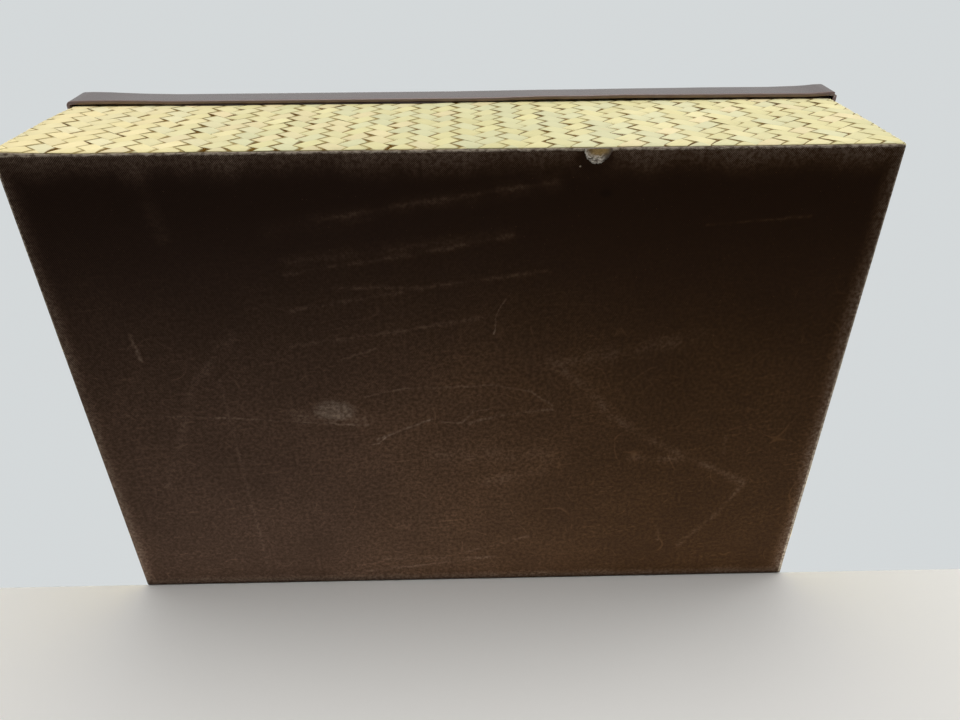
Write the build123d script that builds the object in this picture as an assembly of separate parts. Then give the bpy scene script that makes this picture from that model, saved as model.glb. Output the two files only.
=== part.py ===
"""Photo storage box: a plaited-mat tray with four bays for prints, and a lift-off lid.

The tray is greyboard, wrapped outside in plaited strip, closed underneath by a cloth-covered
base and lined with paper. The lid is greyboard covered in imitation leather, and its shallow
lip slides down over the tray's rim.

Millimetres. +Z is up through the lid, X runs along the long side, and the origin is the
centre of the face that the box stands on.
"""
from build123d import *
import os

os.makedirs("parts", exist_ok=True)

# Tray, outside
tray_length = 320.0            # over the mat, along X
tray_width = 220.0             # over the mat, along Y
mat_thickness = 1.2            # plaited strip, two layers deep

# Tray walls
wall_thickness = 2.5           # greyboard
wall_height = 71.8
wall_corner_radius = 0.6       # sanded outer arris of the wall boards
stay_paper = 0.2               # gummed paper that ties each corner
stay_reach = 18.0              # how far a stay runs along each wall

# Base panel
base_inset = 0.7               # the panel stops this far inside the mat
base_board_thickness = 1.0     # greyboard
base_cloth_thickness = 0.35    # book cloth
base_edge_radius = 0.6         # soft edge where the cloth folds round the board
base_corner_radius = 1.4
turn_in_width = 15.0           # cloth folded over onto the board's inner face
infill_gap = 0.5               # between the turn-in and the infill sheet

# Inside of the tray
floor_thickness = 2.0          # greyboard between the walls
lining_paper = 0.3
binding_thickness = 0.3        # imitation leather strip folded over the rim
binding_outside = 8.0          # how far it comes down the mat
binding_inside = 10.0          # how far it comes down inside
divider_thickness = 2.4
divider_height = 58.0
halving_play = 0.1             # each side of a divider in the other's slot

# Lid
lid_depth = 13.0               # outside, top to the lip's lower edge
lid_board_thickness = 2.5      # greyboard
lip_board_thickness = 0.7      # card
lip_corner_radius = 1.2
lid_clearance = 0.3            # lip to rim binding, each side
cover_thickness = 0.4          # imitation leather
cover_edge_radius = 0.8        # soft top edge of the lid
lid_stay_paper = 0.15
lid_stay_reach = 12.0

# Sizes that follow, from the outside in
wall_outer_length = tray_length - 2 * mat_thickness
wall_outer_width = tray_width - 2 * mat_thickness
wall_inner_length = wall_outer_length - 2 * wall_thickness
wall_inner_width = wall_outer_width - 2 * wall_thickness
bay_length = wall_inner_length - 2 * lining_paper
bay_width = wall_inner_width - 2 * lining_paper
mat_corner_radius = wall_corner_radius + mat_thickness

base_length = tray_length - 2 * base_inset
base_width = tray_width - 2 * base_inset
base_board_length = base_length - 2 * base_cloth_thickness
base_board_width = base_width - 2 * base_cloth_thickness
infill_length = base_board_length - 2 * (turn_in_width + infill_gap)
infill_width = base_board_width - 2 * (turn_in_width + infill_gap)

lid_inner_length = tray_length + 2 * (binding_thickness + lid_clearance)
lid_inner_width = tray_width + 2 * (binding_thickness + lid_clearance)
lid_board_length = lid_inner_length + 2 * cover_thickness
lid_board_width = lid_inner_width + 2 * cover_thickness
lip_outer_length = lid_board_length + 2 * lip_board_thickness
lip_outer_width = lid_board_width + 2 * lip_board_thickness
lid_length = lip_outer_length + 2 * cover_thickness
lid_width = lip_outer_width + 2 * cover_thickness

# Heights, from the face that the box stands on upwards
base_board_z = base_cloth_thickness
turn_in_z = base_board_z + base_board_thickness
wall_z = turn_in_z + base_cloth_thickness
floor_top_z = wall_z + floor_thickness
bay_floor_z = floor_top_z + lining_paper
rim_z = wall_z + wall_height
rim_top_z = rim_z + binding_thickness
lid_board_z = rim_top_z + lining_paper
lid_board_top_z = lid_board_z + lid_board_thickness
lid_top_z = lid_board_top_z + cover_thickness
lip_z = lid_top_z - lid_depth
lining_top_z = rim_z - binding_inside


def block(length, width, bottom, top, corner=0.0):
    """A slab centred on the Z axis between two heights, its upright corners rounded."""
    if corner > 0:
        outline = RectangleRounded(length, width, corner)
    else:
        outline = Rectangle(length, width)
    return Pos(0, 0, bottom) * extrude(outline, top - bottom)


def ring(outer, inner):
    """What is left of one slab when another is taken out of it."""
    return outer - inner


def save(name, shape):
    """Write one sub-part, with its solids side by side in one file."""
    shape.label = name
    export_step(shape, f"parts/{name}.step")


def corner_strips(outer, inner, length, width, reach):
    """Four L-shaped paper strips: the ends of a thin ring, within reach of each corner."""
    long_gap = Box(length - 2 * reach, 2 * width, 4 * lid_top_z)
    short_gap = Box(2 * length, width - 2 * reach, 4 * lid_top_z)
    return outer - inner - long_gap - short_gap


# ---- Base panel: a board wrapped in cloth, which closes the tray underneath ----

def make_base_board():
    """Greyboard sheet inside the cloth."""
    corner = base_corner_radius - base_cloth_thickness
    return block(base_board_length, base_board_width, base_board_z, turn_in_z, corner)


def make_base_cloth(board):
    """Cloth under the board, round its edges and folded onto its inner face."""
    wrap = block(base_length, base_width, 0, wall_z, base_corner_radius)
    wrap = fillet(wrap.faces().sort_by(Axis.Z)[0].edges(), base_edge_radius)
    opening_length = base_board_length - 2 * turn_in_width
    opening_width = base_board_width - 2 * turn_in_width
    opening = block(opening_length, opening_width, turn_in_z, wall_z)
    return wrap - board - opening


def make_infill_sheet():
    """Card that fills the step between the cloth's turned-in edges."""
    return block(infill_length, infill_width, turn_in_z, wall_z)


# ---- Tray walls: four butted boards, tied with paper and wrapped in the mat ----

def make_wall_ring():
    """The four wall boards before they are told apart."""
    outside = block(wall_outer_length, wall_outer_width, wall_z, rim_z, wall_corner_radius)
    inside = block(wall_inner_length, wall_inner_width, wall_z, rim_z)
    return ring(outside, inside)


def make_long_wall(wall_ring, side):
    """A long wall, whose ends reach the box's corners. side is -1 in front and +1 behind."""
    middle = side * (wall_outer_width - wall_thickness) / 2
    keep = Pos(0, middle, 0) * Box(2 * wall_outer_length, wall_thickness, 4 * rim_z)
    return wall_ring & keep


def make_short_wall(side):
    """A short wall, butted between the long ones. side is -1 on the left, +1 on the right."""
    middle = side * (wall_outer_length - wall_thickness) / 2
    height = (wall_z + rim_z) / 2
    return Pos(middle, 0, height) * Box(wall_thickness, wall_inner_width, wall_height)


def make_corner_stays():
    """Gummed paper folded round the four upright corners of the walls."""
    outer = block(wall_outer_length + 2 * stay_paper, wall_outer_width + 2 * stay_paper,
                  wall_z, rim_z, wall_corner_radius + stay_paper)
    inner = block(wall_outer_length, wall_outer_width, wall_z, rim_z, wall_corner_radius)
    return corner_strips(outer, inner, wall_outer_length, wall_outer_width, stay_reach)


def make_woven_mat(stays):
    """Plaited mat wrapped once round the walls, pressed down over the paper stays."""
    outer = block(tray_length, tray_width, wall_z, rim_z, mat_corner_radius)
    inner = block(wall_outer_length, wall_outer_width, wall_z, rim_z, wall_corner_radius)
    return ring(outer, inner) - stays


def make_rim_binding():
    """Strip folded over the rim: down the mat outside, and down the board inside."""
    low = rim_z - binding_outside
    wrap = block(tray_length + 2 * binding_thickness, tray_width + 2 * binding_thickness,
                 low, rim_top_z, mat_corner_radius + binding_thickness)
    mat = block(tray_length, tray_width, low, rim_z, mat_corner_radius)
    outside = wrap - mat
    leg = ring(block(wall_inner_length, wall_inner_width, lining_top_z, rim_top_z),
               block(bay_length, bay_width, lining_top_z, rim_top_z))
    mouth = block(wall_inner_length, wall_inner_width, low, rim_top_z)
    return (outside - mouth) + leg


# ---- Inside of the tray ----

def make_tray_floor_board():
    """Greyboard sheet that fits between the four walls."""
    return block(wall_inner_length, wall_inner_width, wall_z, floor_top_z)


def make_wall_lining():
    """Paper band round the inside of the walls, up to the rim binding."""
    return ring(block(wall_inner_length, wall_inner_width, floor_top_z, lining_top_z),
                block(bay_length, bay_width, floor_top_z, lining_top_z))


def make_floor_lining():
    """Paper sheet on the tray floor."""
    return block(bay_length, bay_width, floor_top_z, bay_floor_z)


def make_divider_long():
    """Divider along X, slotted from above at its middle to take the short one."""
    top = bay_floor_z + divider_height
    board = block(bay_length, divider_thickness, bay_floor_z, top)
    slot = block(divider_thickness + 2 * halving_play, 2 * divider_thickness,
                 bay_floor_z + divider_height / 2, top)
    return board - slot


def make_divider_cross():
    """Divider along Y, slotted from below at its middle to sit over the long one."""
    top = bay_floor_z + divider_height
    board = block(divider_thickness, bay_width, bay_floor_z, top)
    slot = block(2 * divider_thickness, divider_thickness + 2 * halving_play,
                 bay_floor_z, bay_floor_z + divider_height / 2)
    return board - slot


# ---- Lid: a board with a card lip round its edges, covered and lined ----

def make_lid_board():
    """Greyboard top, inside the four lip strips."""
    return block(lid_board_length, lid_board_width, lid_board_z, lid_board_top_z)


def make_lip_ring():
    """The four lip strips before they are told apart."""
    low = lip_z + cover_thickness
    outside = block(lip_outer_length, lip_outer_width, low, lid_board_top_z, lip_corner_radius)
    inside = block(lid_board_length, lid_board_width, low, lid_board_top_z)
    return ring(outside, inside)


def make_long_lip(lip_ring, side):
    """A long lip strip. side is -1 in front and +1 behind."""
    middle = side * (lip_outer_width - lip_board_thickness) / 2
    keep = Pos(0, middle, 0) * Box(2 * lid_length, lip_board_thickness, 4 * lid_top_z)
    return lip_ring & keep


def make_short_lip(lip_ring, side):
    """A short lip strip, between the long ones. side is -1 on the left, +1 on the right."""
    middle = side * (lip_outer_length - lip_board_thickness) / 2
    keep = Pos(middle, 0, 0) * Box(lip_board_thickness, lid_board_width, 4 * lid_top_z)
    return lip_ring & keep


def make_lid_corner_stays():
    """Gummed paper folded round the lip's four corners, under the cover."""
    low = lip_z + cover_thickness
    outer = block(lip_outer_length + 2 * lid_stay_paper, lip_outer_width + 2 * lid_stay_paper,
                  low, lid_board_top_z, lip_corner_radius + lid_stay_paper)
    inner = block(lip_outer_length, lip_outer_width, low, lid_board_top_z, lip_corner_radius)
    return corner_strips(outer, inner, lip_outer_length, lip_outer_width, lid_stay_reach)


def make_lid_cover(lip_ring, board, stays):
    """One sheet over the top, down the lip, round its lower edge and up inside it."""
    corner = lip_corner_radius + cover_thickness
    skin = block(lid_length, lid_width, lip_z, lid_top_z, corner)
    skin = fillet(skin.faces().sort_by(Axis.Z)[-1].edges(), cover_edge_radius)
    cavity = block(lid_inner_length, lid_inner_width, lip_z, lid_board_z)
    return skin - lip_ring - board - stays - cavity


def make_lid_lining():
    """Paper sheet under the lid board."""
    return block(lid_inner_length, lid_inner_width, rim_top_z, lid_board_z)


base_board = make_base_board()
save("base_board", base_board)
save("base_cloth", make_base_cloth(base_board))
save("infill_sheet", make_infill_sheet())

wall_ring = make_wall_ring()
save("wall_front", make_long_wall(wall_ring, -1))
save("wall_back", make_long_wall(wall_ring, 1))
save("wall_left", make_short_wall(-1))
save("wall_right", make_short_wall(1))
corner_stays = make_corner_stays()
save("corner_stays", corner_stays)
save("woven_mat", make_woven_mat(corner_stays))
save("rim_binding", make_rim_binding())

save("tray_floor_board", make_tray_floor_board())
save("wall_lining", make_wall_lining())
save("floor_lining", make_floor_lining())
save("divider_long", make_divider_long())
save("divider_cross", make_divider_cross())

lid_board = make_lid_board()
lip_ring = make_lip_ring()
lid_stays = make_lid_corner_stays()
save("lid_board", lid_board)
save("lid_lip_front", make_long_lip(lip_ring, -1))
save("lid_lip_back", make_long_lip(lip_ring, 1))
save("lid_lip_left", make_short_lip(lip_ring, -1))
save("lid_lip_right", make_short_lip(lip_ring, 1))
save("lid_corner_stays", lid_stays)
save("lid_cover", make_lid_cover(lip_ring, lid_board, lid_stays))
save("lid_lining", make_lid_lining())
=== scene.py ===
import math
from functools import partial

import bmesh
import bpy
import numpy as np
from mathutils import Matrix, Vector


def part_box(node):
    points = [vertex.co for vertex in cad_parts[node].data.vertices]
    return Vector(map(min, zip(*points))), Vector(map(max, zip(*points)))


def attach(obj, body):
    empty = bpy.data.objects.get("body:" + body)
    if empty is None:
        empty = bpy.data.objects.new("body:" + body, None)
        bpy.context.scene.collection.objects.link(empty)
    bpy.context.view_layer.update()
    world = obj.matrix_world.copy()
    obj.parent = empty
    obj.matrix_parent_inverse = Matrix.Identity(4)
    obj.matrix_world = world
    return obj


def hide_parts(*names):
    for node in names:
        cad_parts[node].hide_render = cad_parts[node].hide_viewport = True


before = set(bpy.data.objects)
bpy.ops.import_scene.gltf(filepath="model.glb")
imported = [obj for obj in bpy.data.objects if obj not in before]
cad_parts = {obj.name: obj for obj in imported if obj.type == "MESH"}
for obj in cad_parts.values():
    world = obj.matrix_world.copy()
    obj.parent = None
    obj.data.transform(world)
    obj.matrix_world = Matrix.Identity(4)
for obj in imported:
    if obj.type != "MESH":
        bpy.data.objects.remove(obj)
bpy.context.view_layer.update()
mm = 0.001
scene = bpy.context.scene
scene.view_settings.view_transform = "Standard"

# ---- Camera ----
# The box stands on its back long side, so the camera looks up at the underside, with the front
# long side uppermost.
camera_eye = Vector((4.73, -188.71, -261.32)) * mm
camera_aim = Vector((8.86, -21.9, 0.0)) * mm
camera_roll = -0.0073
camera_lens = 28.14            # on a 36 mm wide sensor


def add_object(name, data):
    """An object in the scene that shows some data."""
    made = bpy.data.objects.new(name, data)
    scene.collection.objects.link(made)
    return made


camera = add_object("camera", bpy.data.cameras.new("camera"))
scene.camera = camera
camera.data.lens = camera_lens
camera.data.sensor_width = 36.0
camera.data.clip_start = 0.01
camera.data.clip_end = 20.0
forward = (camera_aim - camera_eye).normalized()
level = forward.cross(Vector((0, -1, 0))).normalized()
right = level * math.cos(camera_roll) + level.cross(forward) * math.sin(camera_roll)
turn = Matrix((right, right.cross(forward), -forward)).transposed().to_4x4()
camera.matrix_world = Matrix.Translation(camera_eye) @ turn

# ---- Studio ----
# A pale floor under the box, and a second one under its back long side, where it stands for the
# main view. Five large soft lamps light it, and a small one low down stands for the light that the
# second floor throws up.
background = (0.66, 0.69, 0.7, 1.0)
floor_colour = (0.68, 0.67, 0.65, 1.0)
back_floor_colour = (0.9, 0.885, 0.85, 1.0)
light_above = 0.55             # soft light from all round, above and below the ground
light_below = 0.03
horizon = 0.3                  # how far above and below level the one fades into the other
floor_half = 1.6
back_floor_top = 0.0004        # just past the ground, so that no light shows between the two
ground_height = -0.0001        # just clear of the box, so that the two flat faces don't coincide
fade_from = 0.45
fade_to = 1.2
back_floor_slope = 0.034       # the lid's lip holds that edge up a little
back_floor_depth = 1.2


def set_inputs(node, inputs):
    """Give a node's inputs plain values, or link other nodes' sockets to them."""
    for key, value in dict(inputs).items():
        if isinstance(value, bpy.types.NodeSocket):
            node.id_data.links.new(value, node.inputs[key])
        else:
            node.inputs[key].default_value = value


def add_node(tree, kind, inputs=(), **settings):
    """One shader node with its inputs and settings."""
    made = tree.nodes.new("ShaderNode" + kind)
    for key, value in settings.items():
        setattr(made, key, value)
    set_inputs(made, inputs)
    return made


def tree_of(values):
    """The node tree that the sockets among some values belong to."""
    return next(value.id_data for value in values if isinstance(value, bpy.types.NodeSocket))


def calc(operation, *values, clamp=False):
    """One arithmetic step on numbers and sockets, with its result kept within 0 to 1 if clamped."""
    tree = tree_of(values)
    return add_node(tree, "Math", enumerate(values), operation=operation, use_clamp=clamp).outputs[0]


def vector(operation, *values):
    """One arithmetic step on vectors. A length, a distance or a dot product comes out as a number."""
    made = add_node(tree_of(values), "VectorMath", operation=operation)
    set_inputs(made, zip((0, 3) if operation == "SCALE" else (0, 1, 2), values))
    return made.outputs[operation in ("LENGTH", "DISTANCE", "DOT_PRODUCT")]


larger = partial(calc, "MAXIMUM")           # of two values


def ramp(value, low, high, ends="SMOOTHSTEP"):
    """A value brought from a range to 0 to 1, with soft ends unless they are LINEAR."""
    inputs = {"Value": value, "From Min": low, "From Max": high}
    return add_node(value.id_data, "MapRange", inputs, interpolation_type=ends).outputs[0]


def axes_of(point):
    """A vector's X, Y and Z."""
    return add_node(point.id_data, "SeparateXYZ", {0: point}).outputs


def place_in(tree):
    """The shaded point's place in the piece's own space."""
    return add_node(tree, "TexCoord").outputs["Object"]


def blank_material(name):
    """A material with an empty node tree and its output node."""
    made = bpy.data.materials.new(name)
    made.use_nodes = True
    made.node_tree.nodes.clear()
    return made, made.node_tree, made.node_tree.nodes.new("ShaderNodeOutputMaterial")


def add_floor(name, colour, corners):
    """A flat matt floor, facing the side from which its corners run anticlockwise.

    It is clear from behind and fades into the background with distance.
    """
    material, tree, out = blank_material(name)
    fade = ramp(vector("LENGTH", place_in(tree)), fade_from, fade_to, "LINEAR")
    matt = add_node(tree, "BsdfDiffuse", {"Color": colour})
    clear = add_node(tree, "BsdfTransparent")
    faded = add_node(tree, "MixShader", {0: fade, 1: matt.outputs[0], 2: clear.outputs[0]})
    behind = add_node(tree, "NewGeometry").outputs["Backfacing"]
    shown = add_node(tree, "MixShader", {0: behind, 1: faded.outputs[0], 2: clear.outputs[0]})
    tree.links.new(shown.outputs[0], out.inputs["Surface"])
    mesh = bpy.data.meshes.new(name)
    mesh.from_pydata(corners, [], [(0, 1, 2, 3)])
    mesh.materials.append(material)
    made = add_object(name, mesh)
    return made


tray_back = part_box("woven_mat")[1].y
ground = add_floor("ground", floor_colour, [(x * floor_half, y * floor_half, ground_height)
                                            for x, y in ((-1, -1), (1, -1), (1, 1), (-1, 1))])
ground.visible_shadow = ground.visible_diffuse = ground.visible_glossy = False
near_y = tray_back - back_floor_slope * back_floor_depth
back_floor = add_floor("back_floor", back_floor_colour,
                       [(-floor_half, near_y, -back_floor_depth), (floor_half, near_y, -back_floor_depth),
                        (floor_half, tray_back, back_floor_top), (-floor_half, tray_back, back_floor_top)])
back_floor.visible_shadow = False

world = bpy.data.worlds.new("studio")
scene.world = world
world.use_nodes = True
sky = world.node_tree
sky.nodes.clear()
heading = add_node(sky, "TexCoord").outputs["Generated"]
inputs = {"Value": axes_of(heading)["Z"], "From Min": -horizon, "From Max": horizon,
          "To Min": light_below, "To Max": light_above}
glow = add_node(sky, "MapRange", inputs, interpolation_type="SMOOTHSTEP").outputs[0]
ambient = add_node(sky, "Background", {"Color": (1, 1, 1, 1), "Strength": glow})
backdrop = add_node(sky, "Background", {"Color": background, "Strength": 1.0})
rays = add_node(sky, "LightPath").outputs
eyes = larger(rays["Is Camera Ray"], rays["Is Glossy Ray"])
shown = add_node(sky, "MixShader", {0: eyes, 1: ambient.outputs[0], 2: backdrop.outputs[0]})
add_node(sky, "OutputWorld", {"Surface": shown.outputs[0]})


def add_lamp(name, place, aim, width, height, power):
    """A soft rectangular lamp, turned towards a point and itself unseen."""
    lamp = add_object(name, bpy.data.lights.new(name, "AREA"))
    lamp.data.shape = "RECTANGLE"
    lamp.data.size = width
    lamp.data.size_y = height
    lamp.data.energy = power
    lamp.visible_camera = False
    lamp.location = place
    lamp.rotation_mode = "QUATERNION"
    lamp.rotation_quaternion = (Vector(aim) - Vector(place)).to_track_quat("-Z", "Y")


add_lamp("front_lamp", (0.0, -1.15, 0.03), (0, 0, 0.02), 0.9, 0.9, 9.5)
add_lamp("top_lamp", (-0.1, 0.4, 1.25), (0, 0, 0.04), 0.9, 0.9, 8.0)
add_lamp("right_lamp", (1.25, -0.2, 0.35), (0, 0, 0.04), 0.8, 0.8, 5.0)
add_lamp("left_lamp", (-1.25, 0.1, 0.35), (0, 0, 0.04), 0.8, 0.8, 4.5)
add_lamp("rear_lamp", (-0.2, 1.2, 0.45), (0, 0, 0.04), 0.8, 0.8, 6.0)
add_lamp("reflector", (0.03, 0.107, -0.067), (0.03, -0.893, -0.033), 0.5, 0.125, 0.6)

# ---- Base board ----
# A sheet of tan pulp board that stiffens the base panel. It is guillotined square, and shows only
# where the cloth over it has torn.


def new_group(name, inputs, outputs):
    """An empty shader node group, and the sockets of its input and output nodes.

    The defaults of its inputs tell what they are: a number, a colour, or None for a vector.
    """
    group = bpy.data.node_groups.new(name, "ShaderNodeTree")
    for label, value in inputs.items():
        kind = "Vector" if value is None else "Color" if isinstance(value, tuple) else "Float"
        socket = group.interface.new_socket(label, in_out="INPUT", socket_type="NodeSocket" + kind)
        if value is not None:
            socket.default_value = value
    for label, kind in outputs.items():
        group.interface.new_socket(label, in_out="OUTPUT", socket_type="NodeSocket" + kind)
    return group, group.nodes.new("NodeGroupInput").outputs, group.nodes.new("NodeGroupOutput").inputs


def use_group(tree, group, inputs=()):
    """Place a node group in a tree and return its output sockets."""
    made = tree.nodes.new("ShaderNodeGroup")
    made.node_tree = group
    set_inputs(made, inputs)
    return made.outputs


plus = partial(calc, "ADD")
minus = partial(calc, "SUBTRACT")
times = partial(calc, "MULTIPLY")
scaled = partial(calc, "MULTIPLY_ADD")      # a value times a factor, plus an offset
stretch = partial(vector, "MULTIPLY")       # a place scaled differently along each axis


def mixed(share, first, second):
    """Two colours mixed by a share, which is a socket."""
    made = add_node(share.id_data, "Mix", data_type="RGBA")
    set_inputs(made, {0: share, 6: first, 7: second})
    return made.outputs[2]


def noise(place, scale, detail=3.0, roughness=0.55):
    """A soft random value from 0 to 1 over the surface."""
    inputs = {"Vector": place, "Scale": scale, "Detail": detail, "Roughness": roughness}
    return add_node(place.id_data, "TexNoise", inputs).outputs["Fac"]


def surface(out, colour, roughness, height, strength, depth, others):
    """Wire a material's output to a surface shader with these inputs, embossed by a height."""
    bump = add_node(out.id_data, "Bump", {"Height": height, "Strength": strength, "Distance": depth})
    shader = add_node(out.id_data, "BsdfPrincipled",
                      {"Base Color": colour, "Roughness": roughness, "Normal": bump.outputs[0], **others})
    out.id_data.links.new(shader.outputs[0], out.inputs["Surface"])


def pulp_group():
    """Paper pulp: short fibres and specks, lighter and darker than the sheet, and a faint tooth."""
    group, given, result = new_group(
        "pulp", {"Color": (0.5, 0.5, 0.5, 1), "Speck Color": (0.2, 0.2, 0.2, 1), "Specks": 0.5,
                 "Fibre Size": 1.0}, {"Color": "Color", "Height": "Float"})
    place = vector("SCALE", place_in(group), calc("DIVIDE", 1.0, given["Fibre Size"]))
    cloud = noise(place, 90.0, 4.0, 0.6)
    threads = larger(*[ramp(noise(stretch(place, across), 1.0, 2.0), 0.6, 0.74)
                       for across in ((260.0, 2600.0, 1400.0), (2400.0, 300.0, 1300.0))])
    specks = ramp(noise(place, 1500.0, 1.0), 0.68, 0.74)
    dark = times(larger(specks, times(threads, 0.4)), given["Specks"], clamp=True)
    toned = vector("SCALE", given["Color"], scaled(cloud, 0.36, 0.82))
    group.links.new(mixed(dark, toned, given["Speck Color"]), result["Color"])
    group.links.new(plus(times(threads, 0.5), noise(place, 900.0, 2.0)), result["Height"])
    return group


pulp = pulp_group()


def pulp_material(name, colour, speck, specks, size, roughness, tooth):
    """Board, card or paper, from its colour, its specks and the size of its fibres."""
    made, tree, out = blank_material(name)
    inputs = {"Color": colour, "Speck Color": speck, "Specks": specks, "Fibre Size": size}
    made_of = use_group(tree, pulp, inputs)
    surface(out, made_of["Color"], roughness, made_of["Height"], 0.35, tooth, {"Specular IOR Level": 0.25})
    return made


def dress(names, material):
    """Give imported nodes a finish."""
    for name in names:
        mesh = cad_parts[name].data
        mesh.materials.clear()
        mesh.materials.append(material)


dress(["base_board"],
      pulp_material("tan_board", (0.46, 0.34, 0.19, 1), (0.2, 0.13, 0.07, 1), 0.6, 1.0, 0.9, 0.0002))

# ---- Greyboard: walls, tray floor and lid board ----
# The walls are greyboard, butted at the corners and glued round the tray's floor board, and the lid
# is a sheet of the same with strips of thin card for its lip. Kraft paper tape, gummed and folded
# round each corner, holds them. A thin card fills the hollow between the base cloth's turned-in edges.
dress(["wall_front", "wall_back", "wall_left", "wall_right", "tray_floor_board", "lid_board"],
      pulp_material("grey_board", (0.36, 0.33, 0.27, 1), (0.12, 0.1, 0.08, 1), 0.7, 1.0, 0.9, 0.0002))
dress(["lid_lip_front", "lid_lip_back", "lid_lip_left", "lid_lip_right"],
      pulp_material("lip_card", (0.47, 0.42, 0.33, 1), (0.25, 0.2, 0.14, 1), 0.5, 0.8, 0.85, 0.0001))
dress(["infill_sheet"],
      pulp_material("infill_card", (0.5, 0.46, 0.38, 1), (0.25, 0.22, 0.17, 1), 0.5, 0.8, 0.85, 0.0001))
dress(["corner_stays", "lid_corner_stays"],
      pulp_material("kraft_tape", (0.58, 0.46, 0.31, 1), (0.3, 0.21, 0.12, 1), 0.5, 0.7, 0.6, 0.0001))

# ---- Base cloth ----
# Dark brown twill book cloth, glued over the base board, folded round its edges and turned in. It
# is the face that the box slides about on, so it is scuffed, creased and dusty, and one spot on the
# front edge has torn through to the board.
cloth_thickness = 0.33 * mm
cloth_corner = 0.9 * mm        # plan radius of the panel's corners
cloth_fold = 0.6 * mm          # radius of the fold round the board's lower edge
cloth_top_fold = 0.4 * mm      # and round its upper one
cloth_turn_in = 15.0 * mm
cloth_step = 3.0 * mm          # between its grid lines
tear_step = 0.14 * mm          # and between those round the tear
tear_centre = np.array([51.0, -109.3]) * mm
tear_reach = np.array([5.0, 5.5]) * mm
bowl_centre = np.array([49.6, -108.6]) * mm     # of the hollow in the board it lays bare
bowl_reach = np.array([3.5, 2.4]) * mm
ply_thickness = 0.03 * mm


def spaced(low, high, tear_from, tear_to):
    """Sorted grid lines from low to high, coarse ones and, round the tear, fine ones."""
    coarse, fine = [np.linspace(start, stop, round((stop - start) / step) + 1)
                    for start, stop, step in ((low, high, cloth_step), (tear_from, tear_to, tear_step))]
    coarse = coarse[(coarse <= tear_from - tear_step) | (coarse >= tear_to + tear_step)]
    return np.unique(np.concatenate([coarse, fine, [low, high]]))


def ring_round(half, radii, turns, spacing=None, sides=None):
    """Points round a rectangle, anticlockwise from its front left corner, and the way out from each.

    Each corner turns at its own radius in so many steps, and is repeated where that is 0, so that a
    ring moved out from it is rounded. The sides' points are evenly spaced, or at given coordinates.
    """
    corners = np.array([(-1, -1), (1, -1), (1, 1), (-1, 1)])
    middles = corners * (np.array(half) - np.array(radii)[:, None])
    points, ways = [], []
    for number, radius in enumerate(radii):
        axis, following = number % 2, (number + 1) % 4
        angles = (number - 1 + np.linspace(0, 1, turns + 1)) * math.pi / 2
        way = np.stack([np.sin(angles), -np.cos(angles)], 1)
        start = middles[number] + way[-1] * radius
        stop = middles[following] + way[-1] * radii[following]
        if spacing:
            count = max(2, round(abs(stop[axis] - start[axis]) / spacing))
            along = np.linspace(start[axis], stop[axis], count + 1)[1:-1]
        else:
            along = sides[number]
        side = np.tile(start, (len(along), 1))
        side[:, axis] = along
        points += [middles[number] + way * radius, side]
        ways += [way, np.tile(way[-1], (len(along), 1))]
    return np.concatenate(points), np.concatenate(ways)


def skirt(ring, ways, profile, radius=0.0):
    """Rings of points through (out, height) pairs, out being 0 on the ring and negative inside it.

    A ring is drawn in along its ways as far as the smallest radius of its corners, and then clipped
    to a rectangle.
    """
    reach = np.abs(ring).max(0)
    rings = []
    for out, height in profile:
        moved = np.clip(ring + ways * max(out, -radius), -reach - out, reach + out)
        rings.append(np.column_stack([moved, np.full(len(ring), height)]))
    return np.array(rings)


def ring_faces(rings, count, first=0):
    """Quads between closed rings of equal count, facing out where the rings climb anticlockwise."""
    ring = np.arange(rings - 1)[:, None] * count + first
    here = np.arange(count)
    there = (here + 1) % count
    return np.stack([ring + here, ring + there, ring + count + there, ring + count + here], -1).reshape(-1, 4)


def sheet(xs, ys):
    """Points over a grid of lines as arrays of x and y, and the quads between them, facing down."""
    grid_x, grid_y = np.meshgrid(xs, ys)
    index = np.arange(grid_x.size).reshape(grid_x.shape)
    quads = np.stack([index[:-1, :-1], index[1:, :-1], index[1:, 1:], index[:-1, 1:]], -1)
    return grid_x, grid_y, quads.reshape(-1, 4)


def build_mesh(name, points, faces, material, thickness):
    """A smooth skin from an array of points and lists of faces, with doubled points merged.

    It has a thickness, inwards from these faces.
    """
    mesh = bpy.data.meshes.new(name)
    mesh.from_pydata(np.asarray(points, float).tolist(), [], [list(map(int, face)) for face in faces])
    made = add_object(name, mesh)
    mesh.materials.append(material)
    merged = bmesh.new()
    merged.from_mesh(mesh)
    bmesh.ops.remove_doubles(merged, verts=merged.verts, dist=1e-6)
    bmesh.ops.dissolve_degenerate(merged, edges=merged.edges, dist=1e-7)
    merged.to_mesh(mesh)
    merged.free()
    mesh.polygons.foreach_set("use_smooth", [True] * len(mesh.polygons))
    shell = made.modifiers.new("thickness", "SOLIDIFY")
    shell.thickness = thickness
    shell.offset = -1.0
    return made


def arc(centre_out, centre_height, radius, start, stop, steps):
    """Profile points along a round fold, by angle in degrees from straight out, anticlockwise."""
    angles = np.radians(np.linspace(start, stop, steps + 1))
    return [(centre_out + radius * math.cos(a), centre_height + radius * math.sin(a)) for a in angles]


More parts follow.
